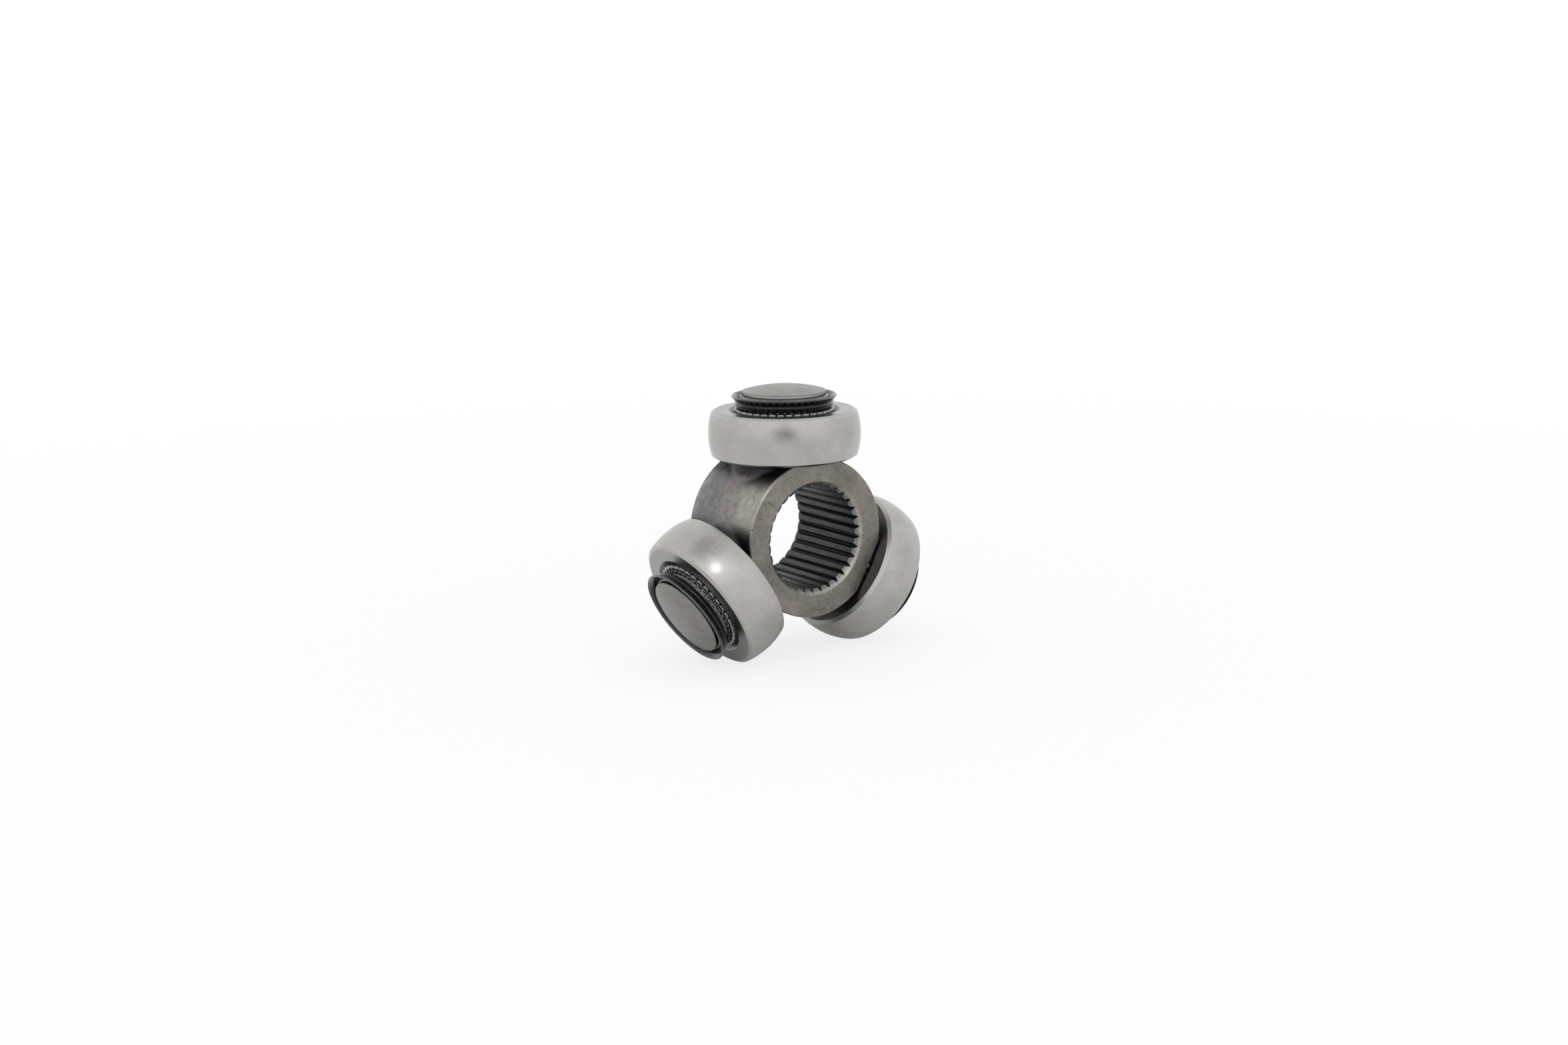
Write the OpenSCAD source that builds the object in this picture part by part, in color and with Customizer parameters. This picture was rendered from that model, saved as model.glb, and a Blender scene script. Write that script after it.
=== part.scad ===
// Tripod spider of a constant velocity joint, with three barrel rollers on needles.
// The hub's axis is Y, the arms lie in the XZ plane, and the first arm points up.

/* [Hub] */
// Outer diameter of the hub
hub_d = 36.7; // [35.6:0.1:38]
// Arms' plane to the hub's front face
hub_front = 11.9; // [11.4:0.1:14]
// Arms' plane to the hub's back face
hub_back = 12.5; // [11.4:0.1:14]
// Bevel round the rim of both faces
hub_bevel = 0.3; // [0.1:0.05:0.6]

/* [Spline] */
// Number of teeth
spline_teeth = 33; // [25:1:40]
// Diameter over the bottoms of the spaces
spline_major_d = 25.5; // [25:0.1:27]
// Diameter over the crests
spline_minor_d = 23.9; // [22.6:0.1:24.4]
// Part of a pitch that a crest takes up
crest_share = 0.5; // [0.4:0.02:0.6]
// Part of a pitch left at the bottom of a space
root_share = 0.08; // [0.04:0.02:0.16]
// How far the lead-in bevel stands outside the spaces
lead_in = 0.45; // [0.2:0.05:0.9]
// Turn of the first space away from the upright arm, in degrees
spline_turn = 3.6; // [0:0.1:10]

/* [Arms] */
// Hub's axis to the shoulder at the foot of an arm
shoulder_at = 16.95; // [16.4:0.05:17.4]
// How far the shoulder stands out round the needles
shoulder_rim = 0.3; // [0.1:0.02:0.8]
// Diameter of the ground trunnion
trunnion_d = 19.5; // [17:0.1:20.5]
// Width of the grinding relief at the trunnion's foot
relief_w = 1.2; // [0.6:0.1:2]
// Depth of the grinding relief
relief_depth = 0.25; // [0.1:0.05:0.5]
// Plain length of trunnion outside its stop ring
end_land = 0.95; // [0.6:0.05:3]
// Bevel between the trunnion and its domed end
end_bevel = 0.25; // [0.05:0.05:0.5]
// Height of the domed end
dome_h = 1.3; // [0.8:0.1:3]

/* [Rollers] */
// Diameter of a roller over its barrel
roller_d = 34.95; // [33.5:0.05:36]
// Width of a roller
roller_w = 10.9; // [9.5:0.1:12]
// Width of the bevel between the barrel and a side's flat
corner_w = 0.92; // [0.4:0.02:1.6]
// Height of the bevel between the barrel and a side's flat
corner_h = 0.55; // [0.3:0.05:0.9]
// Bevel at both ends of a roller's bore
bore_bevel = 1.1; // [0.5:0.1:1.4]
// Shoulder to roller, as they stand in the photograph
roller_gap = 0.5; // [0.2:0.05:1]

/* [Needles] */
// Diameter of a needle
needle_d = 1.85; // [1.5:0.05:2.2]
// Length of a needle
needle_l = 11.8; // [10.8:0.05:12.8]
// Rounding at a needle's ends
needle_end = 0.3; // [0.1:0.05:0.4]

/* [Collars] */
// Thickness of a collar's flat ring
collar_t = 0.6; // [0.4:0.05:0.9]
// Thickness of a collar's wall
collar_wall = 0.5; // [0.35:0.05:0.6]
// Height of the flared lip's outer edge
lip_at = 2.5; // [2.35:0.05:3.2]
// Clearance between a collar's bulged band and a roller's bore
band_gap = 0.32; // [0.2:0.02:0.4]
// How far a collar's foot stands inside its band
foot_step = 0.6; // [0.2:0.02:0.7]
// How far the crease between band and lip stands inside the band
crease_step = 0.08; // [0.04:0.02:0.3]
// How far a collar's flared lip stands outside a roller's bore
lip_catch = 0.42; // [0.3:0.02:0.9]
// Height of the band's widest place
band_at = 1; // [0.8:0.05:1.2]
// Height of the crease
crease_at = 1.3; // [1.25:0.05:1.8]
// How far a collar can slide before its stop ring holds it
collar_play = 1.1; // [0.5:0.05:1.3]

/* [Stop rings] */
// Wire diameter of a stop ring
wire_d = 1.1; // [0.8:0.05:1.2]
// Opening of a stop ring, in degrees
ring_opening = 28; // [15:1:60]

/* [Fits] */
// Radial running clearance on each side of the needles
run_gap = 0.02; // [0.01:0.01:0.06]
// Clearance between the needles, and at their ends
needle_gap = 0.05; // [0.02:0.01:0.1]
// Radial clearance of a collar on its trunnion
collar_gap = 0.1; // [0.05:0.01:0.2]

/* [Hidden] */
$fn = 96;

// Angle about the hub's axis, in degrees, that takes the upright arm to each place
top_turn = 0;
left_turn = -120;
right_turn = 120;

hub_r = hub_d / 2;
major_r = spline_major_d / 2;
minor_r = spline_minor_d / 2;
trunnion_r = trunnion_d / 2;
needle_r = needle_d / 2;
roller_r = roller_d / 2;
wire_r = wire_d / 2;

// A full complement leaves less than one needle's width free on the pitch circle
needle_pitch_r = trunnion_r + run_gap + needle_r;
needle_step = 2 * asin((needle_d + run_gap / 2) / (2 * needle_pitch_r));
needle_count = floor(360 / needle_step);
bore_r = needle_pitch_r + needle_r + run_gap;
shoulder_r = bore_r + shoulder_rim;

// Places along an arm, from the hub's axis outwards
roller_in = shoulder_at + roller_gap;
roller_mid = roller_in + roller_w / 2;
needle_in = shoulder_at + needle_gap;
collar_in = needle_in + needle_l + needle_gap;
ring_at = collar_in + collar_t + collar_play + needle_gap + wire_r;
end_at = ring_at + wire_r + end_land;

// Outer radii of a collar's wall
band_r = bore_r - band_gap;
foot_r = band_r - foot_step;
crease_r = band_r - crease_step;
lip_r = bore_r + lip_catch;

// Rounding at a collar's foot and at its lip's edge
rim_h = collar_wall / 4;

// The wire's middle lies in the trunnion's skin
ring_r = trunnion_r - needle_gap;

// Ratio of the flare's radius to the one that would just touch the hub
flare_ratio = 1.07;

// What is cut right through stands out this far at both ends
over = 1;

function polar(r, a) = [r * cos(a), r * sin(a)];

module on_arm(turn) {
  rotate([0, turn, 0]) children();
}

// Spline

function space_points(i) =
  let (
    pitch = 360 / spline_teeth,
    mouth = pitch * (1 - crest_share) / 2,
    bottom = pitch * root_share / 2,
    a = 90 + spline_turn + pitch * i
  )
  [
    polar(minor_r, a - mouth), polar(major_r, a - bottom),
    polar(major_r, a + bottom), polar(minor_r, a + mouth)
  ];

module spline_outline() {
  polygon([for (i = [0 : spline_teeth - 1]) each space_points(i)]);
}

module lead_in_cone() {
  mouth_r = major_r + lead_in;
  translate([0, 0, -over])
    cylinder(h = mouth_r + over - minor_r / 2, r1 = mouth_r + over, r2 = minor_r / 2);
}

module spline_bore() {
  translate([0, 0, -hub_front - over])
    linear_extrude(hub_front + hub_back + 2 * over) spline_outline();
  translate([0, 0, -hub_front]) lead_in_cone();
  translate([0, 0, hub_back]) mirror([0, 0, 1]) lead_in_cone();
}

// Spider

module hub_slab(r) {
  rim_r = r - hub_bevel;
  rotate([-90, 0, 0])
    rotate_extrude()
      polygon([
        [0, -hub_front], [rim_r, -hub_front], [r, -hub_front + hub_bevel],
        [r, hub_back - hub_bevel], [rim_r, hub_back], [0, hub_back]
      ]);
}

module shoulder_flat() {
  translate([-hub_d, -hub_d, shoulder_at]) cube([2 * hub_d, 2 * hub_d, hub_d]);
}

// Forged foot of an arm, which supports every needle's inner end. Its flank is an arc that
// starts straight down from the shoulder and all but touches the hub's barrel beside the arm.
module shoulder() {
  flare_r = flare_ratio * (pow(shoulder_r, 2) + pow(shoulder_at, 2) - pow(hub_r, 2))
    / (2 * (hub_r - shoulder_r));
  bend = atan2(shoulder_at, shoulder_r + flare_r);
  foot_at = shoulder_at - flare_r * sin(bend);
  root_r = shoulder_r + flare_r * (1 - cos(bend));
  rotate_extrude()
    difference() {
      translate([0, foot_at]) square([root_r, shoulder_at - foot_at]);
      translate([shoulder_r + flare_r, shoulder_at]) circle(r = flare_r);
    }
}

// Half of a trunnion's section, with the relief at its foot and the bevel at its end
module trunnion_section() {
  relief_r = trunnion_r - relief_depth;
  relief_end = shoulder_at + relief_w;
  polygon([
    [0, shoulder_at / 2], [relief_r, shoulder_at / 2],
    [relief_r, relief_end - relief_depth], [trunnion_r, relief_end],
    [trunnion_r, end_at - end_bevel], [trunnion_r - end_bevel, end_at], [0, end_at]
  ]);
}

module dome() {
  edge_r = trunnion_r - end_bevel;
  dome_r = (edge_r * edge_r + dome_h * dome_h) / (2 * dome_h);
  intersection() {
    translate([0, 0, end_at + dome_h - dome_r]) sphere(r = dome_r);
    translate([0, 0, end_at - end_bevel]) cylinder(h = dome_h + over, r = edge_r);
  }
}

module ring_groove() {
  rotate_extrude() translate([ring_r, ring_at]) circle(r = wire_r + run_gap);
}

module trunnion() {
  difference() {
    union() {
      rotate_extrude() trunnion_section();
      dome();
    }
    ring_groove();
  }
}

module forging() {
  intersection() {
    union() {
      hub_slab(hub_r);
      for (turn = [top_turn, left_turn, right_turn])
        on_arm(turn) shoulder();
    }
    hub_slab(2 * hub_r);
  }
}

module spider() {
  color("dimgray")
    difference() {
      union() {
        difference() {
          forging();
          for (turn = [top_turn, left_turn, right_turn])
            on_arm(turn) shoulder_flat();
        }
        for (turn = [top_turn, left_turn, right_turn])
          on_arm(turn) trunnion();
      }
      rotate([-90, 0, 0]) spline_bore();
    }
}

// Rollers

// Ring with the bevelled corners and bore; its outer wall stands clear of the barrel
module roller_blank() {
  half_w = roller_w / 2;
  face_r = sqrt(pow(roller_r, 2) - pow(half_w - corner_h, 2)) - corner_w;
  out_r = roller_r + over;
  out_w = half_w - (out_r - face_r) * corner_h / corner_w;
  rotate_extrude()
    polygon([
      [bore_r, -half_w + bore_bevel], [bore_r + bore_bevel, -half_w],
      [face_r, -half_w], [out_r, -out_w],
      [out_r, out_w], [face_r, half_w],
      [bore_r + bore_bevel, half_w], [bore_r, half_w - bore_bevel]
    ]);
}

module roller() {
  color("gainsboro")
    translate([0, 0, roller_mid])
      intersection() {
        roller_blank();
        sphere(r = roller_r);
      }
}

module top_roller() { on_arm(top_turn) roller(); }
module left_roller() { on_arm(left_turn) roller(); }
module right_roller() { on_arm(right_turn) roller(); }

// Needles

module needle() {
  rotate_extrude()
    polygon([
      [0, 0], [needle_r - needle_end, 0], [needle_r, needle_end],
      [needle_r, needle_l - needle_end], [needle_r - needle_end, needle_l], [0, needle_l]
    ]);
}

module needles() {
  color("silver")
    for (i = [0 : needle_count - 1])
      rotate([0, 0, 360 * i / needle_count])
        translate([needle_pitch_r, 0, needle_in]) needle();
}

module top_needles() { on_arm(top_turn) needles(); }
module left_needles() { on_arm(left_turn) needles(); }
module right_needles() { on_arm(right_turn) needles(); }

// Collars

function between(a, b, share) = a + (b - a) * share;

// Radius of a collar's outer wall at height h above its foot
function wall_r(h) =
  h < band_at
    ? between(foot_r, band_r, sin(90 * (h - rim_h) / (band_at - rim_h)))
    : h < crease_at
      ? between(crease_r, band_r, cos(90 * (h - band_at) / (crease_at - band_at)))
      : between(lip_r, crease_r, cos(90 * flare_share(h)));

// Part of the way up the flare, from the crease to the lip's edge
function flare_share(h) = (h - crease_at) / (lip_at - crease_at);

// How far the flare leans outwards at height h, in degrees
function flare_lean(h) =
  atan((lip_r - crease_r) * PI / 2 / (lip_at - crease_at) * sin(90 * flare_share(h)));

// Steps along the sheet and through it, where it leans by an angle
function sheet_along(lean) = [sin(lean), cos(lean)];
function sheet_through(lean) = [-cos(lean), sin(lean)];

module collar_section() {
  steps = 5;
  band_hs = concat(
    [for (i = [0 : steps - 1]) between(rim_h, band_at, i / steps)],
    [for (i = [0 : steps - 1]) between(band_at, crease_at, i / steps)]
  );
  flare_hs = [for (i = [0 : steps]) between(crease_at, lip_at, i / steps)];
  outer = [for (h = concat(band_hs, flare_hs)) [wall_r(h), h]];

  inner_hs = concat(collar_t, [for (h = band_hs) if (h > collar_t) h]);
  band_inner = [for (h = inner_hs) [wall_r(h) - collar_wall, h]];
  flare_inner = [for (h = flare_hs) [wall_r(h), h] + collar_wall * sheet_through(flare_lean(h))];
  inner = concat(band_inner, flare_inner);

  // The sheet is cut square, so its edge slants in and up from the lip's outer corner
  lean = flare_lean(lip_at);
  edge = [
    [lip_r, lip_at] + rim_h * (sheet_along(lean) + sheet_through(lean)),
    [lip_r, lip_at] + rim_h * sheet_along(lean) + (collar_wall - rim_h) * sheet_through(lean)
  ];
  hole_r = trunnion_r + collar_gap;
  polygon(concat(
    [[hole_r, 0], [foot_r - rim_h, 0]],
    outer,
    edge,
    [for (i = [len(inner) - 1 : -1 : 0]) inner[i]],
    [[hole_r, collar_t]]
  ));
}

module collar(slid) {
  color("black")
    translate([0, 0, collar_in + slid])
      rotate_extrude() collar_section();
}

// The upper collar lies on its needles, and the lower two hang from their stop rings
module top_collar() { on_arm(top_turn) collar(0); }
module left_collar() { on_arm(left_turn) collar(collar_play); }
module right_collar() { on_arm(right_turn) collar(collar_play); }

// Stop rings

module stop_ring() {
  color("lightgray")
    translate([0, 0, ring_at])
      rotate([0, 0, 90 + ring_opening / 2])
        rotate_extrude(angle = 360 - ring_opening)
          translate([ring_r, 0]) circle(r = wire_r);
}

module top_stop_ring() { on_arm(top_turn) stop_ring(); }
module left_stop_ring() { on_arm(left_turn) stop_ring(); }
module right_stop_ring() { on_arm(right_turn) stop_ring(); }

spider();
top_roller();
left_roller();
right_roller();
top_needles();
left_needles();
right_needles();
top_collar();
left_collar();
right_collar();
top_stop_ring();
left_stop_ring();
right_stop_ring();
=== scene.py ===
# A tripod joint's spider with its rollers, needles and collars, on a white studio table.
import math

import bpy
from mathutils import Matrix, Vector


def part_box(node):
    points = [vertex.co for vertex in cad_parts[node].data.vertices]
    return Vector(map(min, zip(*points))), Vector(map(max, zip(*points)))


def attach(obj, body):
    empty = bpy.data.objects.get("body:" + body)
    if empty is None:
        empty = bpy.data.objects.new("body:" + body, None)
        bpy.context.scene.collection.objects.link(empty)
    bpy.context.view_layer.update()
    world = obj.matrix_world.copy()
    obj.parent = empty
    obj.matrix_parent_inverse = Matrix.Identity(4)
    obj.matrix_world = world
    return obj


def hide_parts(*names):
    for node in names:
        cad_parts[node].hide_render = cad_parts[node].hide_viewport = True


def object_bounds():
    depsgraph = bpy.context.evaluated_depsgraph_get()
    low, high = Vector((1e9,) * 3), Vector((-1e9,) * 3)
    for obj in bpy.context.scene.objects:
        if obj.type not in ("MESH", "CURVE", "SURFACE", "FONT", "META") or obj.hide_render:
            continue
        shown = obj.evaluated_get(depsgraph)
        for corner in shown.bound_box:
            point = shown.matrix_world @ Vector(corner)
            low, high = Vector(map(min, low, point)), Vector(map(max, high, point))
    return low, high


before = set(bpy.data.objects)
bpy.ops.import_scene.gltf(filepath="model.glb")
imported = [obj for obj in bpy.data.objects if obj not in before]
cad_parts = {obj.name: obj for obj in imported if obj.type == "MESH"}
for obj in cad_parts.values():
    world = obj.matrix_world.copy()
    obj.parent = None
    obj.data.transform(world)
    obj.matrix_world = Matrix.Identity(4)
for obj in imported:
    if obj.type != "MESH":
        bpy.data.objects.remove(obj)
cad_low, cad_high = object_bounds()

MM = 0.001

# Angle about the hub's axis, in degrees, from the upright arm to each arm
ARMS = {"top": 0, "left": -120, "right": 120}

# Sizes in millimetres that the frame's boxes don't give: first the spider's
HUB_R = 18.35
HUB_BEVEL = 0.3
CREST_R = 11.95
SPACE_R = 12.75
LEAD_IN_R = 13.2
SHOULDER_AT = 16.95
TRUNNION_END = 32.65
TRUNNION_BEVEL = 0.25
# The rollers': the bevel of the bore, and the height of the bevel at the barrel's corners
BORE_BEVEL = 1.1
CORNER_H = 0.55
# The needles'
NEEDLE_D = 1.85
NEEDLE_COUNT = 36
NEEDLE_ROUNDING = 0.42

# Sizes in millimetres from the frame
roller_low, roller_high = (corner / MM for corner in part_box("top_roller"))
needles_low, needles_high = (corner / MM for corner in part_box("top_needles"))
spider_low, spider_high = (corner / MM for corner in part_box("spider"))
HUB_FRONT = spider_low.y
HUB_BACK = spider_high.y
ROLLER_MID = (roller_low.z + roller_high.z) / 2
ROLLER_HALF_W = (roller_high.z - roller_low.z) / 2
NEEDLE_PITCH_R = needles_high.x - NEEDLE_D / 2
NEEDLE_L = needles_high.z - needles_low.z
BORE_R = needles_high.x


def arm_direction(turn):
    """Unit vector in the plane of the arms, at an angle in degrees from the upright arm."""
    angle = math.radians(turn)
    return Vector((math.sin(angle), 0, math.cos(angle)))


def farthest_along(node, turn):
    """How far out a node reaches along its arm, in millimetres."""
    direction = arm_direction(turn)
    return max(vertex.co.dot(direction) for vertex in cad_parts[node].data.vertices) / MM


# Camera

# The photograph's viewpoint: degrees round and above the hub, and the lean of the picture
VIEW_AZIMUTH = -35.789
VIEW_ELEVATION = 11.841
VIEW_LEAN = -0.797
VIEW_DISTANCE = 0.44017
# Metres that the viewpoint stands right of and above the line through the hub's centre
VIEW_RIGHT = -0.00042
VIEW_UP = 0.00171
LENS = 43.66
NEAREST_SEEN = 0.01


def direction_to(azimuth, elevation):
    """Unit vector from the hub towards a place in the studio; azimuth 0 is in front of the hub."""
    a = math.radians(azimuth)
    e = math.radians(elevation)
    return Vector((math.sin(a) * math.cos(e), -math.cos(a) * math.cos(e), math.sin(e)))


def make_camera():
    back = direction_to(VIEW_AZIMUTH, VIEW_ELEVATION)
    level = Vector((-back.y, back.x, 0)).normalized()
    upright = back.cross(level)
    lean = math.radians(VIEW_LEAN)
    right = math.cos(lean) * level + math.sin(lean) * upright
    up = math.cos(lean) * upright - math.sin(lean) * level
    place = back * VIEW_DISTANCE + right * VIEW_RIGHT + up * VIEW_UP
    data = bpy.data.cameras.new("photograph")
    data.lens = LENS
    data.clip_start = NEAREST_SEEN
    camera = bpy.data.objects.new("photograph", data)
    bpy.context.scene.collection.objects.link(camera)
    camera.matrix_world = Matrix.Translation(place) @ Matrix((right, up, back)).transposed().to_4x4()
    bpy.context.scene.camera = camera


make_camera()


# Node trees

class Nodes:
    """One node tree, with a short call for each kind of node that the finishes and lights use."""

    def __init__(self, tree):
        self.tree = tree

    def feed(self, socket, value):
        if isinstance(value, bpy.types.NodeSocket):
            self.tree.links.new(value, socket)
        else:
            socket.default_value = value

    def add(self, kind, sockets=None, **settings):
        made = self.tree.nodes.new(kind)
        for name, value in settings.items():
            setattr(made, name, value)
        for key, value in (sockets or {}).items():
            self.feed(made.inputs[key], value)
        return made

    def math(self, operation, *values):
        return self.add("ShaderNodeMath", dict(enumerate(values)), operation=operation).outputs[0]

    def plus(self, first, second):
        return self.math("ADD", first, second)

    def minus(self, first, second):
        return self.math("SUBTRACT", first, second)

    def times(self, first, second):
        return self.math("MULTIPLY", first, second)

    def larger(self, first, second):
        return self.math("MAXIMUM", first, second)

    def vector(self, operation, *values):
        made = self.add("ShaderNodeVectorMath", dict(enumerate(values)), operation=operation)
        scalar = operation in ("DOT_PRODUCT", "LENGTH", "DISTANCE")
        return made.outputs["Value" if scalar else "Vector"]

    def scaled(self, vector, factor):
        made = self.add("ShaderNodeVectorMath", {0: vector, "Scale": factor}, operation="SCALE")
        return made.outputs["Vector"]

    def parts(self, vector):
        return self.add("ShaderNodeSeparateXYZ", {0: vector}).outputs

    def joined(self, x, y, z):
        return self.add("ShaderNodeCombineXYZ", {0: x, 1: y, 2: z}).outputs[0]

    def ease(self, value, start, end, at_start=0.0, at_end=1.0):
        """A smooth step from at_start, where value is start, to at_end, where it is end."""
        made = self.add(
            "ShaderNodeMapRange",
            {"Value": value, "From Min": start, "From Max": end, "To Min": at_start, "To Max": at_end},
            interpolation_type="SMOOTHSTEP",
        )
        return made.outputs["Result"]

    def near(self, value, place, width, soft=None):
        """1 within width of place, falling to 0 over the soft distance (all of width if none is given)."""
        away = self.math("ABSOLUTE", self.minus(value, place))
        if soft is None:
            return self.ease(away, 0.0, width, 1.0, 0.0)
        return self.ease(away, width, width + soft, 1.0, 0.0)

    def noise(self, vector, scale, detail=2.0, roughness=0.5):
        made = self.add(
            "ShaderNodeTexNoise",
            {"Vector": vector, "Scale": scale, "Detail": detail, "Roughness": roughness},
        )
        return made.outputs["Fac"]

    def mixed(self, share, first, second):
        """A number between first and second."""
        return self.add("ShaderNodeMix", {0: share, 2: first, 3: second}).outputs[0]

    def blend(self, share, first, second):
        """A colour between first and second."""
        return self.add("ShaderNodeMix", {0: share, 6: first, 7: second}, data_type="RGBA").outputs[2]

    def shade(self, colour, factor):
        """A colour made lighter or darker by a factor."""
        grey_factor = self.joined(factor, factor, factor)
        made = self.add(
            "ShaderNodeMix", {0: 1.0, 6: colour, 7: grey_factor}, data_type="RGBA", blend_type="MULTIPLY",
        )
        return made.outputs[2]


class Finish(Nodes):
    """A metal's material. Its nodes measure the object in millimetres from the hub's centre.

    A pattern's scale is in features per millimetre. A coat is a colour and a roughness. A share says
    how much of a coat shows, from 0 to 1."""

    def __init__(self, name):
        self.material = bpy.data.materials.new(name)
        self.material.use_nodes = True
        super().__init__(self.material.node_tree)
        self.shader = self.tree.nodes["Principled BSDF"]
        self.shader.inputs["Metallic"].default_value = 1.0
        place = self.add("ShaderNodeTexCoord").outputs["Object"]
        self.place = self.scaled(place, 1 / MM)

    def on_arm(self, turn):
        """The place with an arm's own axis as Z."""
        made = self.add("ShaderNodeMapping", {"Vector": self.place, "Rotation": (0, -math.radians(turn), 0)})
        return made.outputs[0]

    def along_nearest_arm(self):
        """How far out a place lies along the arm that it is nearest to."""
        reach = [self.vector("DOT_PRODUCT", self.place, arm_direction(turn)) for turn in ARMS.values()]
        return self.larger(self.larger(reach[0], reach[1]), reach[2])

    def radius(self, across, up):
        return self.math("SQRT", self.plus(self.times(across, across), self.times(up, up)))

    def stretched(self, place, x, y, z):
        """A place with each axis scaled by itself, for a pattern that is drawn out into lines."""
        return self.vector("MULTIPLY", place, (x, y, z))

    def rings(self, out, per_mm):
        """A pattern of fine rings at distance out from an axis."""
        return self.noise(self.joined(self.times(out, per_mm), 0.0, 0.0), 1.0, detail=4.0, roughness=0.7)

    def varied(self, middle, spread, *patterns):
        """middle plus spread times each pattern's share, where a pattern is (noise, weight)."""
        total = middle
        for pattern, weight in patterns:
            total = self.plus(total, self.times(self.minus(pattern, 0.5), 2 * spread * weight))
        return total

    def over(self, share, below, above):
        """Two coats, with the upper one laid on by its share."""
        return self.blend(share, below[0], above[0]), self.mixed(share, below[1], above[1])

    def relief(self, *heights):
        """Bumps the surface by heights in millimetres."""
        total = heights[0]
        for height in heights[1:]:
            total = self.plus(total, height)
        bump = self.add("ShaderNodeBump", {"Strength": 1.0, "Distance": MM, "Height": total})
        self.feed(self.shader.inputs["Normal"], bump.outputs[0])
        return bump

    def soften_creases(self, bump, radius):
        """Lets the light run smoothly over creases, within a radius in millimetres."""
        made = self.add("ShaderNodeBevel", {"Radius": self.times(radius, MM)}, samples=8)
        self.feed(bump.inputs["Normal"], made.outputs[0])

    def oiled(self, weight, roughness):
        """Lays a clear film of oil over the metal."""
        self.shader.inputs["Coat Weight"].default_value = weight
        self.shader.inputs["Coat Roughness"].default_value = roughness

    def wear(self, coat):
        """Gives the shader its coat."""
        self.feed(self.shader.inputs["Base Color"], coat[0])
        self.feed(self.shader.inputs["Roughness"], coat[1])


def grey(value, warmth=0.0):
    """A steel's colour: a grey that warmth makes yellower, as its red rises and its blue falls faster."""
    blue_fall = 1.6
    return (value * (1 + warmth), value, value * (1 - blue_fall * warmth), 1.0)


# Finish of the rollers

ROLLER_GREY = grey(0.415, 0.022)
ROLLER_ROUGHNESS = 0.265
# How light the turned sides are beside the ground barrel, and the strength and width of a painted highlight
# along the corners' bevels
SIDE_LIGHT = 0.72
CORNER_HIGHLIGHT = 0.16
CORNER_HIGHLIGHT_WIDTH = 0.12
STAIN_BROWN = (0.29, 0.26, 0.22, 1.0)
STAIN_SHARE = 0.2
SPECK_BROWN = (0.07, 0.055, 0.045, 1.0)
SPECK_SHARE = 0.7
# Painted shade on each roller's inner side, which faces the hub, and in its bore by the needles: its colour
# and roughness, and how much of it shows on each
SHADE_DARK = (0.19, 0.187, 0.184, 1.0)
SHADED_ROUGHNESS = 0.34
SHADE_ON_INNER_SIDE = 0.9
SHADE_IN_BORE = 0.92
# Millimetres below a side at which its own finish and its painted shade start; both are full at a third of
# that
SIDE_DEPTH = 0.03
SHADE_DEPTH = 0.06
# Millimetres inside the bore's bevel over which the painted shade starts there
BORE_SHADE_EDGE = 0.15
# Heights of the grinding lines and of the grain between them
GROUND_RELIEF = 0.0016
ROLLER_GRAIN_RELIEF = 0.0012


def roller_steel(name, turn):
    """Ground bearing steel: fine lines round the barrel, faint clouds, and painted shade on the inner side,
    which faces the hub, and in the bore.
    """
    f = Finish(name)
    place = f.on_arm(turn)
    x, y, along = f.parts(place)
    out = f.radius(x, y)
    outwards = f.minus(along, ROLLER_MID)
    height = f.math("ABSOLUTE", outwards)
    side = f.ease(height, ROLLER_HALF_W - SIDE_DEPTH, ROLLER_HALF_W - SIDE_DEPTH / 3)
    inner_side = f.ease(outwards, SHADE_DEPTH - ROLLER_HALF_W, SHADE_DEPTH / 3 - ROLLER_HALF_W)
    bevel_r = BORE_R + BORE_BEVEL
    bore = f.ease(out, bevel_r, bevel_r - BORE_SHADE_EDGE)
    # The line where each corner's bevel meets the barrel, which gets a painted highlight
    corner = f.near(height, ROLLER_HALF_W - CORNER_H, CORNER_HIGHLIGHT_WIDTH)

    clouds = f.noise(place, 0.14)
    mottle = f.noise(place, 0.8, detail=4.0, roughness=0.6)
    grain = f.noise(place, 5.0)
    ground = f.noise(f.stretched(place, 0.25, 0.25, 14.0), 1.0, detail=3.0, roughness=0.7)
    lines = f.mixed(side, ground, f.rings(out, per_mm=9.0))
    specks = f.ease(f.noise(place, 2.1, detail=0.0), 0.85, 0.87)

    light = f.varied(1.0, 0.22, (clouds, 0.9), (mottle, 0.35), (grain, 0.8), (lines, 0.5))
    # Painted highlight along the corner line
    light = f.plus(light, f.times(corner, CORNER_HIGHLIGHT))
    light = f.times(light, f.mixed(side, 1.0, SIDE_LIGHT))
    metal = f.shade(ROLLER_GREY, light)
    metal = f.blend(f.ease(mottle, 0.6, 0.8, at_end=STAIN_SHARE), metal, STAIN_BROWN)
    metal = f.blend(f.times(specks, SPECK_SHARE), metal, SPECK_BROWN)
    steel = metal, f.varied(ROLLER_ROUGHNESS, 0.1, (clouds, 1.0), (mottle, 0.6), (lines, 0.5))
    shade_coat = f.shade(SHADE_DARK, f.varied(1.0, 0.25, (mottle, 1.0), (grain, 0.5))), SHADED_ROUGHNESS
    # Share of the painted shade on the inner side and in the bore
    oiled = f.larger(f.times(inner_side, SHADE_ON_INNER_SIDE), f.times(bore, SHADE_IN_BORE))
    f.wear(f.over(oiled, steel, shade_coat))
    f.relief(f.times(lines, GROUND_RELIEF), f.times(grain, ROLLER_GRAIN_RELIEF))
    return f.material


# Finish of the spider

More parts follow.
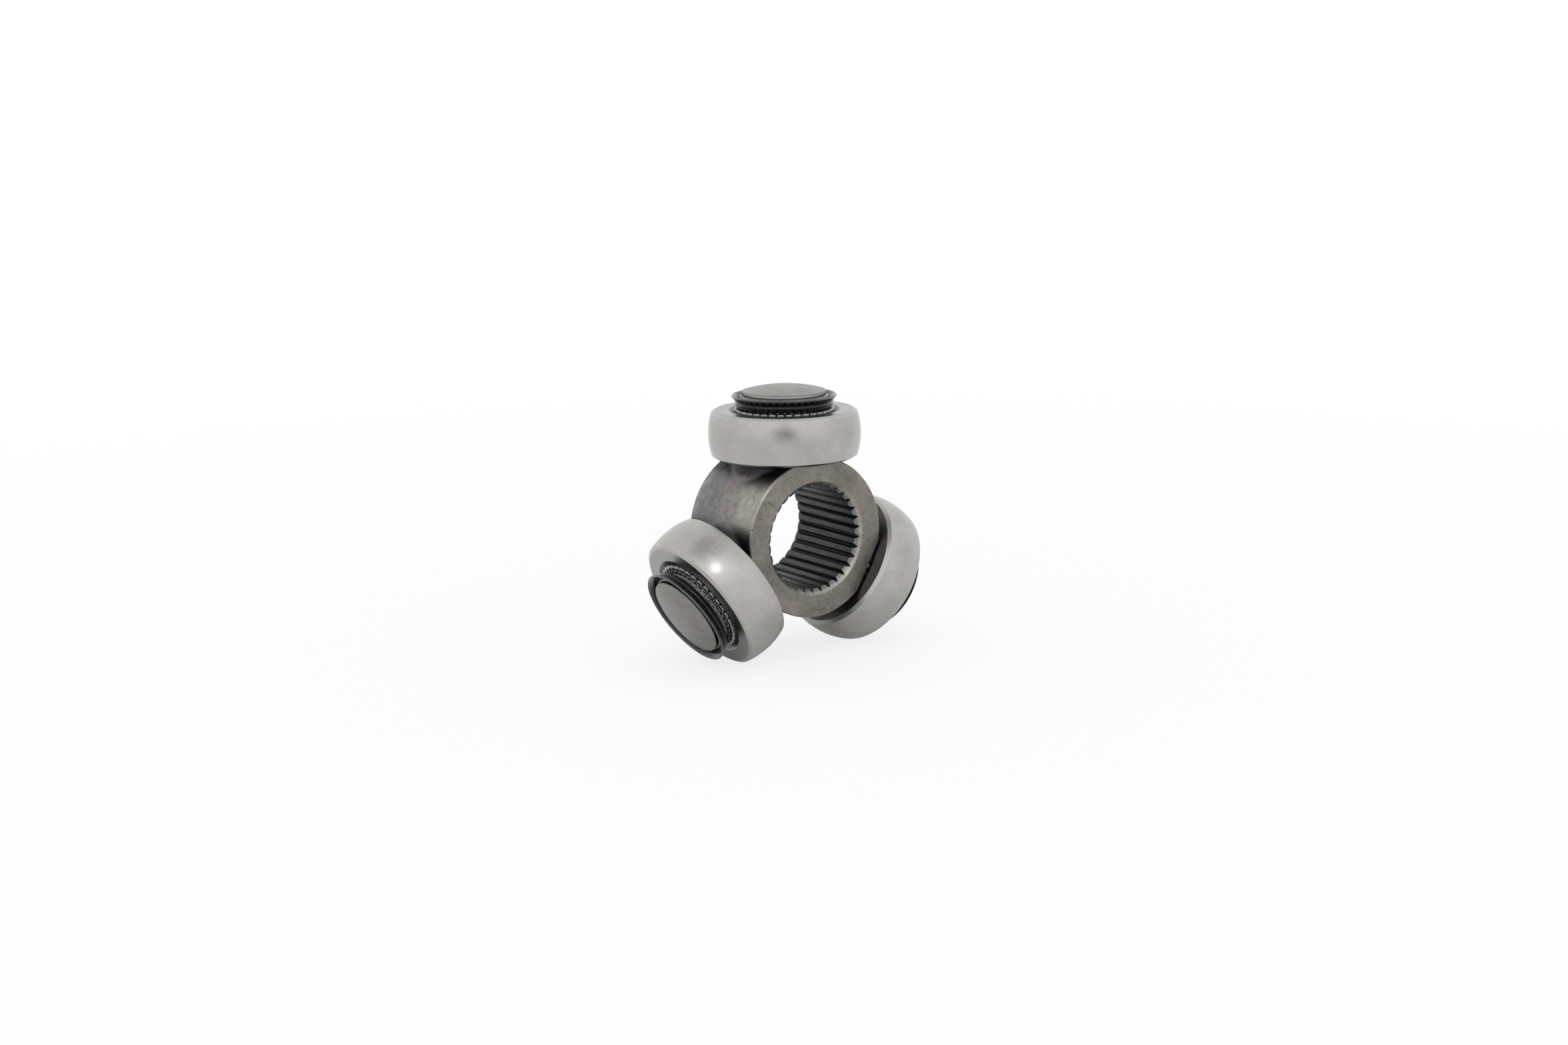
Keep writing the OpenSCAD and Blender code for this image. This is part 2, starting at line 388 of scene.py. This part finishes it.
# Tints that hardening leaves on the hub's flanks, from the back face to the front. After the first,
# each starts to show at one place along the hub and covers the one before it from the other.
FLANK_BACK = (0.27, 0.26, 0.255, 1.0)
FLANK_TINTS = (
    ((0.175, 0.177, 0.176, 1.0), HUB_BACK - 1.0, HUB_BACK - 5.0),
    ((0.235, 0.212, 0.205, 1.0), 5.0, 0.5),
    ((0.325, 0.312, 0.275, 1.0), -1.0, -6.5),
)
FLANK_ROUGHNESS = 0.45
# Millimetres that clouds shift the tints along the hub
TINT_WANDER = 7.0

# Dark scale and painted shade beneath the rollers: where they start and are full, along an arm and outside
# the hub's barrel, how much of them shows in each, and how far mottles shift them along the arm
SCALE_AND_SHADE_DARK = (0.026, 0.026, 0.03, 1.0)
SCALE_AND_SHADE_ALONG = (12.5, 15.3)
SCALE_AND_SHADE_SHARE = 0.93
SCALE_AND_SHADE_OUT = (HUB_R + 0.05, HUB_R + 0.9)
FOOT_SCALE_AND_SHADE_SHARE = 0.96
SCALE_AND_SHADE_WANDER = 3.0
# Where along an arm the light starts to run smoothly over creases and does so fully, and the radius there
CREASE_ALONG = (11.5, 13.5)
CREASE_SOFTNESS = 1.6

FACE_GREY = (0.216, 0.2, 0.176, 1.0)
FACE_ROUGHNESS = 0.42
# Millimetres below a face at which its finish starts and is full
FACE_DEPTH = (0.05, 0.03)
# A painted highlight on the rim's bevel and on the lead-in's edge line
RIM_HIGHLIGHT_GREY = grey(0.33, 0.03)
RIM_ROUGHNESS = 0.36
RIM_HIGHLIGHT_SHARE = 0.45
# Where the rim's painted highlight starts and is full, below a face and inside the hub's barrel
RIM_BELOW = (HUB_BEVEL + 0.1, HUB_BEVEL)
RIM_FROM = (HUB_R - 0.32, HUB_R - 0.24)
LEAD_IN_HIGHLIGHT_WIDTH = 0.1

SPLINE_DARK = (0.038, 0.041, 0.044, 1.0)
CREST_GREY = (0.068, 0.07, 0.07, 1.0)
SPLINE_ROUGHNESS = 0.42
# Where the spline's dark starts and is full, by radius and below a face, and where the crests' grey does
SPLINE_WITHIN = (SPACE_R + 0.12, SPACE_R + 0.08)
SPLINE_BELOW = (0.45, 0.9)
CREST_WITHIN = (CREST_R + 0.5, CREST_R + 0.05)

LAND_GREY = grey(0.4, 0.02)
LAND_ROUGHNESS = 0.17
# Painted light and shade: the upright arm's dome is lighter and the two lower domes darker
TOP_DOME_LIT_GREY = grey(0.31, 0.02)
DOME_GREY = grey(0.25, 0.03)
DOME_ROUGHNESS = 0.42
# Where along an arm its ground land and its domed end each start and are full
LAND_FROM = (SHOULDER_AT + 0.01, SHOULDER_AT + 0.05)
DOME_AT = TRUNNION_END - TRUNNION_BEVEL
DOME_FROM = (DOME_AT, DOME_AT + 0.06)
# Height at which a dome counts as the top one, which painted light makes lighter than the two lower ones
TOP_DOME_LIT_FROM = (TRUNNION_END - 1.0, TRUNNION_END)
SEAM_AT = DOME_AT + 0.05
SEAM_WIDTH = 0.12
SEAM_SHARE = 0.7
SEAM_ROUGHNESS = 0.5

# Nicks on the hub's front face: angle from the upright arm in degrees, where each starts and ends
# from the hub's axis, its width, and how dark it is
NICKS = (
    (-53, 14.4, 17.0, 0.13, 0.9), (-59, 15.9, 16.4, 0.12, 0.5),
    (-63.4, 16.0, 16.6, 0.14, 0.55), (-67.1, 15.8, 17.1, 0.15, 0.8),
    (171.9, 16.4, 17.5, 0.1, 0.6), (176.1, 16.6, 17.3, 0.09, 0.35), (178.6, 16.2, 17.2, 0.1, 0.55),
)
DENT_ANGLE = -76.4
DENT_R = 0.42
NICK_DARK = (0.045, 0.04, 0.036, 1.0)
NICK_ROUGHNESS = 0.5
NICK_DEPTH = 0.06
NICK_END = 0.25
# Millimetres below the front face at which nicks fade in and are full
NICKS_BELOW = (1.0, 0.5)

# Heights of the forging's scale and grain, of the turned rings, and of what is everywhere
SCALE_RELIEF = 0.022
GRAIN_RELIEF = 0.007
RING_RELIEF = 0.0025
FINE_RELIEF = 0.0012


class SpiderFinish(Finish):
    """One forging's four surfaces: scaled flanks, turned faces, dark broached spline and ground arms."""

    def __init__(self, name):
        super().__init__(name)
        x, self.y, self.z = self.parts(self.place)
        self.out = self.radius(x, self.z)
        self.along = self.along_nearest_arm()
        self.depth = self.math("MINIMUM", self.minus(self.y, HUB_FRONT), self.minus(HUB_BACK, self.y))
        self.clouds = self.noise(self.place, 0.13)
        self.mottle = self.noise(self.place, 0.6, detail=5.0, roughness=0.65)
        self.grain = self.noise(self.place, 3.4, detail=4.0, roughness=0.7)
        self.turned = self.rings(self.out, per_mm=7.0)
        self.face_light = self.varied(
            1.0, 0.55, (self.clouds, 0.8), (self.mottle, 0.8), (self.grain, 1.0), (self.turned, 0.25),
        )

    def flank(self):
        """Tinted in bands along the hub, and dark towards the foot of each arm with scale and with painted
        shade beneath the rollers.
        """
        band = self.plus(self.y, self.times(self.minus(self.clouds, 0.5), TINT_WANDER))
        tint = FLANK_BACK
        for colour, start, full in FLANK_TINTS:
            tint = self.blend(self.ease(band, start, full), tint, colour)
        tint = self.shade(tint, self.varied(1.06, 0.75, (self.mottle, 1.0), (self.grain, 1.0)))
        # Painted shade beneath each roller, together with dark scale, darkens the flank and the arm's foot
        ragged = self.plus(self.along, self.times(self.minus(self.mottle, 0.5), SCALE_AND_SHADE_WANDER))
        on_foot = self.ease(self.out, *SCALE_AND_SHADE_OUT, at_end=FOOT_SCALE_AND_SHADE_SHARE)
        scaled = self.larger(self.ease(ragged, *SCALE_AND_SHADE_ALONG, at_end=SCALE_AND_SHADE_SHARE), on_foot)
        roughness = self.varied(FLANK_ROUGHNESS, 0.14, (self.mottle, 1.0), (self.grain, 0.8))
        return self.blend(scaled, tint, SCALE_AND_SHADE_DARK), roughness

    def turned_faces(self):
        """Both flat faces of the hub, with rings about its axis."""
        roughness = self.varied(FACE_ROUGHNESS, 0.1, (self.mottle, 1.0), (self.turned, 0.6))
        return self.ease(self.depth, *FACE_DEPTH), (self.shade(FACE_GREY, self.face_light), roughness)

    def painted_highlight_edges(self):
        """The rim's bevel, and the thin line where the spline's lead-in meets the face, both lighter with a
        painted highlight.
        """
        rim = self.times(self.ease(self.depth, *RIM_BELOW), self.ease(self.out, *RIM_FROM))
        line = self.near(self.plus(self.out, self.depth), LEAD_IN_R, LEAD_IN_HIGHLIGHT_WIDTH)
        share = self.times(self.larger(rim, line), RIM_HIGHLIGHT_SHARE)
        return share, (self.shade(RIM_HIGHLIGHT_GREY, self.face_light), RIM_ROUGHNESS)

    def broached_spline(self):
        """Dark between the teeth and rubbed on the crests, with lines along the hub."""
        broached = self.noise(self.stretched(self.place, 6.0, 0.25, 6.0), 1.0, detail=3.0, roughness=0.7)
        inside = self.times(self.ease(self.out, *SPLINE_WITHIN), self.ease(self.depth, *SPLINE_BELOW))
        metal = self.blend(self.ease(self.out, *CREST_WITHIN), SPLINE_DARK, CREST_GREY)
        metal = self.shade(metal, self.varied(1.0, 0.8, (broached, 1.2), (self.mottle, 0.5)))
        return inside, (metal, SPLINE_ROUGHNESS)

    def ground_arms(self):
        """Bright lands, with a dark seam below their domed ends."""
        on_arm = self.ease(self.along, *LAND_FROM)
        domed = self.ease(self.along, *DOME_FROM)
        seam = self.times(self.near(self.along, SEAM_AT, SEAM_WIDTH), SEAM_SHARE)
        land_light = self.varied(1.0, 0.08, (self.mottle, 1.0), (self.grain, 0.6))
        land = self.shade(LAND_GREY, land_light), LAND_ROUGHNESS
        # Painted light: the dome is lighter the higher it stands
        dome_grey = self.blend(self.ease(self.z, *TOP_DOME_LIT_FROM), DOME_GREY, TOP_DOME_LIT_GREY)
        dome_light = self.varied(1.0, 0.45, (self.clouds, 0.6), (self.mottle, 0.7), (self.grain, 1.2))
        roughness = self.varied(DOME_ROUGHNESS, 0.1, (self.mottle, 1.0), (self.grain, 1.0))
        arm = self.over(domed, land, (self.shade(dome_grey, dome_light), roughness))
        return on_arm, self.over(seam, arm, (SCALE_AND_SHADE_DARK, SEAM_ROUGHNESS))

    def nicks(self):
        """1 in the nicks of the front face and in the dent on its rim."""
        deepest = 0.0
        for angle, start, end, width, dark in NICKS:
            outwards = arm_direction(angle)
            sideways = arm_direction(angle + 90)
            across = self.near(self.vector("DOT_PRODUCT", self.place, sideways), 0.0, width)
            reach = self.vector("DOT_PRODUCT", self.place, outwards)
            within = self.near(reach, (start + end) / 2, (end - start) / 2, soft=NICK_END)
            deepest = self.larger(deepest, self.times(self.times(across, within), dark))
        dent_at = arm_direction(DENT_ANGLE) * HUB_R + Vector((0, HUB_FRONT, 0))
        dent = self.ease(self.vector("DISTANCE", self.place, dent_at), DENT_R, DENT_R * 0.4)
        near_front = self.ease(self.minus(self.y, HUB_FRONT), *NICKS_BELOW)
        return self.times(self.larger(deepest, dent), near_front)


def spider_steel(name):
    """Lays the spider's surfaces over each other, and gives each its relief."""
    f = SpiderFinish(name)
    on_face, face = f.turned_faces()
    on_edge, edge = f.painted_highlight_edges()
    inside, spline = f.broached_spline()
    on_arm, arm = f.ground_arms()
    nicks = f.nicks()
    coat = f.over(on_face, f.flank(), face)
    coat = f.over(inside, coat, spline)
    coat = f.over(on_edge, coat, edge)
    coat = f.over(nicks, coat, (NICK_DARK, NICK_ROUGHNESS))
    f.wear(f.over(on_arm, coat, arm))

    forged = f.minus(1.0, f.larger(on_face, f.larger(on_arm, on_edge)))
    scale_height = f.plus(f.times(f.mottle, SCALE_RELIEF), f.times(f.grain, GRAIN_RELIEF))
    bump = f.relief(
        f.times(scale_height, forged),
        f.times(f.times(f.turned, RING_RELIEF), on_face),
        f.times(f.noise(f.place, 11.0), FINE_RELIEF),
        f.times(nicks, -NICK_DEPTH),
    )
    f.soften_creases(bump, f.times(f.ease(f.along, *CREASE_ALONG, at_end=CREASE_SOFTNESS), forged))
    return f.material


# Finishes of the needles, the collars and the stop rings

# The needles' grey is darkened with painted shade of the ring between roller, trunnion and collar
NEEDLE_SHADED_GREY = (0.3, 0.3, 0.305, 1.0)
NEEDLE_ROUGHNESS = 0.26
# A film of oil is its weight and its roughness
NEEDLE_FILM = (0.3, 0.12)

SHEET_BLACK = (0.01, 0.011, 0.015, 1.0)
SHEET_ROUGHNESS = 0.3
SHEET_FILM = (0.7, 0.16)
RUBBED_AND_HIGHLIGHT_GREY = (0.15, 0.155, 0.165, 1.0)
# How far below the lip's top its rubbed rim, with its painted highlight, starts and is full
RUBBED_AND_HIGHLIGHT_BELOW = (0.36, 0.3)
SHEET_RELIEF = 0.006
SHEET_GRAIN_RELIEF = 0.0015

WIRE_GREY = grey(0.17, 0.01)
WIRE_ROUGHNESS = 0.24


def needle_steel(name):
    """Polished bearing steel, its grey lowered by painted shade of the ring that the needles sit in, under a
    clear film of oil.
    """
    f = Finish(name)
    mottle = f.noise(f.place, 1.3, detail=3.0)
    metal = f.shade(NEEDLE_SHADED_GREY, f.varied(1.0, 0.8, (mottle, 1.0)))
    f.wear((metal, f.varied(NEEDLE_ROUGHNESS, 0.1, (mottle, 1.0))))
    f.oiled(*NEEDLE_FILM)
    return f.material


def black_sheet(name, turn, lip_at):
    """Blackened spring steel, lighter on the lip's rim, where it is rubbed bare and carries a painted
    highlight.
    """
    f = Finish(name)
    place = f.on_arm(turn)
    along = f.parts(place)[2]
    mottle = f.noise(place, 0.8, detail=4.0, roughness=0.6)
    grain = f.noise(place, 6.0)
    start, full = (lip_at - below for below in RUBBED_AND_HIGHLIGHT_BELOW)
    # The lip's rim: rubbed bare, with a painted highlight
    rim = f.times(f.ease(along, start, full), f.ease(mottle, 0.3, 0.55, at_start=0.5))
    black = f.shade(SHEET_BLACK, f.varied(1.0, 0.6, (mottle, 1.0), (grain, 0.5)))
    roughness = f.varied(SHEET_ROUGHNESS, 0.12, (mottle, 1.0), (grain, 0.6))
    f.wear((f.blend(f.times(rim, 0.5), black, RUBBED_AND_HIGHLIGHT_GREY), roughness))
    f.oiled(*SHEET_FILM)
    f.relief(f.times(mottle, SHEET_RELIEF), f.times(grain, SHEET_GRAIN_RELIEF))
    return f.material


def spring_wire(name):
    """Drawn wire, dulled by oil."""
    f = Finish(name)
    mottle = f.noise(f.place, 1.1, detail=3.0)
    metal = f.shade(WIRE_GREY, f.varied(1.0, 0.5, (mottle, 1.0)))
    f.wear((metal, f.varied(WIRE_ROUGHNESS, 0.1, (mottle, 1.0))))
    return f.material


def dress(node, material):
    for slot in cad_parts[node].material_slots:
        slot.material = material


needle_finish = needle_steel("needle_steel_oiled")
wire_finish = spring_wire("spring_wire_drawn")
dress("spider", spider_steel("forged_steel_surfaces"))
for arm, turn in ARMS.items():
    collar = arm + "_collar"
    dress(arm + "_roller", roller_steel(arm + "_roller_ground", turn))
    dress(collar, black_sheet(collar + "_black", turn, farthest_along(collar, turn)))
    dress(arm + "_stop_ring", wire_finish)


# Needles

NEEDLE_SIDES = 28
DOME_RINGS = 8
SPIN_SEED = 7


def needle_profile():
    """Radius and height of a needle's outline, with both ends domed, in millimetres."""
    quarter = [(i + 1) * math.pi / 2 / DOME_RINGS for i in range(DOME_RINGS)]
    lower = [(NEEDLE_D / 2 * math.sin(a), NEEDLE_ROUNDING * (1 - math.cos(a))) for a in quarter]
    upper = [(radius, NEEDLE_L - height) for radius, height in reversed(lower)]
    return lower + upper


def lathe(name, profile, sides):
    """A closed solid turned about Z from an outline that starts and ends at flat ends."""
    vertices = []
    for radius, height in profile:
        for i in range(sides):
            angle = 2 * math.pi * i / sides
            vertices.append((radius * math.cos(angle) * MM, radius * math.sin(angle) * MM, height * MM))
    faces = []
    last = (len(profile) - 1) * sides
    for lower in range(0, last, sides):
        upper = lower + sides
        for i in range(sides):
            j = (i + 1) % sides
            faces.append((lower + i, lower + j, upper + j, upper + i))
    faces.append(tuple(reversed(range(sides))))
    faces.append(tuple(last + i for i in range(sides)))
    mesh = bpy.data.meshes.new(name)
    mesh.from_pydata(vertices, [], faces)
    mesh.shade_smooth()
    return bpy.data.objects.new(name, mesh)


def complement_tree():
    """Geometry nodes that stand a full ring of needles round an arm."""
    tree = bpy.data.node_groups.new("needle_complement", "GeometryNodeTree")
    face = tree.interface
    face.new_socket("Geometry", in_out="OUTPUT", socket_type="NodeSocketGeometry")
    for label, kind in (
        ("Needle", "Object"), ("Count", "Int"), ("Pitch radius", "Float"),
        ("Inner end", "Float"), ("Arm turn", "Float"), ("Finish", "Material"),
    ):
        face.new_socket(label, in_out="INPUT", socket_type="NodeSocket" + kind)
    nodes = Nodes(tree)
    given = nodes.add("NodeGroupInput").outputs
    ring = nodes.add("GeometryNodeMeshCircle", {"Vertices": given["Count"], "Radius": given["Pitch radius"]})
    needle = nodes.add("GeometryNodeObjectInfo", {"Object": given["Needle"]})
    whole_turn = (0.0, 0.0, 2 * math.pi)
    spin = nodes.add(
        "FunctionNodeRandomValue", {"Max": whole_turn, "Seed": SPIN_SEED}, data_type="FLOAT_VECTOR",
    )
    placed = nodes.add(
        "GeometryNodeInstanceOnPoints",
        {
            "Points": ring.outputs["Mesh"],
            "Instance": needle.outputs["Geometry"],
            "Rotation": spin.outputs["Value"],
        },
    )
    solid = nodes.add("GeometryNodeRealizeInstances", {"Geometry": placed.outputs["Instances"]})
    height = nodes.joined(0.0, 0.0, given["Inner end"])
    raised = nodes.add("GeometryNodeTransform", {"Geometry": solid.outputs[0], "Translation": height})
    turn = nodes.joined(0.0, given["Arm turn"], 0.0)
    turned = nodes.add("GeometryNodeTransform", {"Geometry": raised.outputs[0], "Rotation": turn})
    finished = nodes.add(
        "GeometryNodeSetMaterial", {"Geometry": turned.outputs[0], "Material": given["Finish"]},
    )
    nodes.add("NodeGroupOutput", {"Geometry": finished.outputs[0]})
    return tree


def baked(name, tree, values):
    """The plain mesh that a tree makes with these inputs."""
    holder = bpy.data.objects.new(name + "_tree", bpy.data.meshes.new(name + "_tree"))
    bpy.context.scene.collection.objects.link(holder)
    modifier = holder.modifiers.new("nodes", "NODES")
    modifier.node_group = tree
    for item in tree.interface.items_tree:
        if item.item_type == "SOCKET" and item.in_out == "INPUT":
            modifier[item.identifier] = values[item.name]
    bpy.context.view_layer.update()
    seen = holder.evaluated_get(bpy.context.evaluated_depsgraph_get())
    mesh = bpy.data.meshes.new_from_object(seen)
    mesh.name = name
    bpy.data.objects.remove(holder)
    made = bpy.data.objects.new(name, mesh)
    bpy.context.scene.collection.objects.link(made)
    return made


def make_needles():
    pattern = lathe("needle_pattern", needle_profile(), NEEDLE_SIDES)
    tree = complement_tree()
    for arm, turn in ARMS.items():
        ring = baked(arm + "_needle_ring", tree, {
            "Needle": pattern, "Count": NEEDLE_COUNT, "Pitch radius": NEEDLE_PITCH_R * MM,
            "Inner end": needles_low.z * MM, "Arm turn": math.radians(turn), "Finish": needle_finish,
        })
        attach(ring, arm + "_needles")
        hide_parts(arm + "_needles")
    bpy.data.objects.remove(pattern)


make_needles()


# Studio

TABLE_SIZE = 8.0
TABLE_PAINT = 0.88
# How much of the table's plain white the camera sees and polished metal mirrors: first under the
# object, where the table keeps its shadow, and then away from it
WHITE_SEEN = (0.8, 1.0)
WHITE_MIRRORED = (0.12, 0.4)
# Metres from the hub between which the first gives way to the second
SEEN_BETWEEN = (0.07, 0.56)
MIRRORED_BETWEEN = (0.07 / 3, 0.07)

# Lighter panels and dim openings of the tent, as metal mirrors them: azimuth, elevation, radius and
# softness in degrees, and change of light
PANELS = (
    (-75, 25, 26, 16, (0.17, 0.17, 0.17)),
    (5, 25, 26, 16, (0.17, 0.17, 0.17)),
    (-35, 50, 24, 16, (0.27, 0.26, 0.25)),
    (-35, -3, 15, 8, (-0.94, -0.97, -1.0)),
    (-80, 78, 17, 9, (-0.45, -0.45, -0.45)),
)

LAMP_AZIMUTH = -34
LAMP_ELEVATION = 47
LAMP_DISTANCE = 0.9
LAMP_SIZE = 0.19
LAMP_POWER = 0.35


def make_table():
    """A white table; the camera sees most of it as plain white, with the object's soft shadow."""
    low = cad_low.z
    half = TABLE_SIZE / 2
    mesh = bpy.data.meshes.new("table")
    corners = [(-half, -half, low), (half, -half, low), (half, half, low), (-half, half, low)]
    mesh.from_pydata(corners, [], [(0, 1, 2, 3)])
    table = bpy.data.objects.new("table", mesh)
    bpy.context.scene.collection.objects.link(table)
    material = bpy.data.materials.new("white_table")
    material.use_nodes = True
    nodes = Nodes(material.node_tree)
    material.node_tree.nodes.clear()
    paint = nodes.add("ShaderNodeBsdfDiffuse", {"Color": (TABLE_PAINT, TABLE_PAINT, TABLE_PAINT, 1.0)})
    white = nodes.add("ShaderNodeEmission", {"Color": (1.0, 1.0, 1.0, 1.0), "Strength": 1.0})
    path = nodes.add("ShaderNodeLightPath").outputs
    mirrored = nodes.plus(path["Is Glossy Ray"], path["Is Transmission Ray"])
    away = nodes.vector("LENGTH", nodes.add("ShaderNodeTexCoord").outputs["Object"])
    seen = nodes.times(path["Is Camera Ray"], nodes.ease(away, *SEEN_BETWEEN, *WHITE_SEEN))
    shown = nodes.times(mirrored, nodes.ease(away, *MIRRORED_BETWEEN, *WHITE_MIRRORED))
    share = nodes.plus(seen, shown)
    both = nodes.add("ShaderNodeMixShader", {0: share, 1: paint.outputs[0], 2: white.outputs[0]})
    nodes.add("ShaderNodeOutputMaterial", {"Surface": both.outputs[0]})
    mesh.materials.append(material)


def make_tent():
    """A white light tent. Metal and glass mirror its white with its panels; the camera sees plain white."""
    world = bpy.data.worlds.new("tent")
    bpy.context.scene.world = world
    world.use_nodes = True
    nodes = Nodes(world.node_tree)
    world.node_tree.nodes.clear()
    towards = nodes.add("ShaderNodeTexCoord").outputs["Generated"]
    path = nodes.add("ShaderNodeLightPath").outputs
    mirrored = nodes.plus(path["Is Glossy Ray"], path["Is Transmission Ray"])
    light = (1.0, 1.0, 1.0)
    for azimuth, elevation, radius, softness, change in PANELS:
        facing = nodes.vector("DOT_PRODUCT", towards, direction_to(azimuth, elevation))
        outer = math.cos(math.radians(radius + softness))
        inner = math.cos(math.radians(radius - softness))
        share = nodes.times(nodes.ease(facing, outer, inner), mirrored)
        light = nodes.vector("ADD", light, nodes.scaled(change, share))
    tent = nodes.add("ShaderNodeBackground", {"Color": light, "Strength": 1.0})
    nodes.add("ShaderNodeOutputWorld", {"Surface": tent.outputs[0]})


def make_lamp():
    data = bpy.data.lights.new("front_lamp", "AREA")
    data.shape = "DISK"
    data.size = LAMP_SIZE
    data.energy = LAMP_POWER
    lamp = bpy.data.objects.new("front_lamp", data)
    bpy.context.scene.collection.objects.link(lamp)
    towards = direction_to(LAMP_AZIMUTH, LAMP_ELEVATION)
    lamp.location = towards * LAMP_DISTANCE
    lamp.rotation_euler = towards.to_track_quat("Z", "Y").to_euler()


make_table()
make_tent()
make_lamp()
bpy.context.scene.view_settings.view_transform = "Standard"
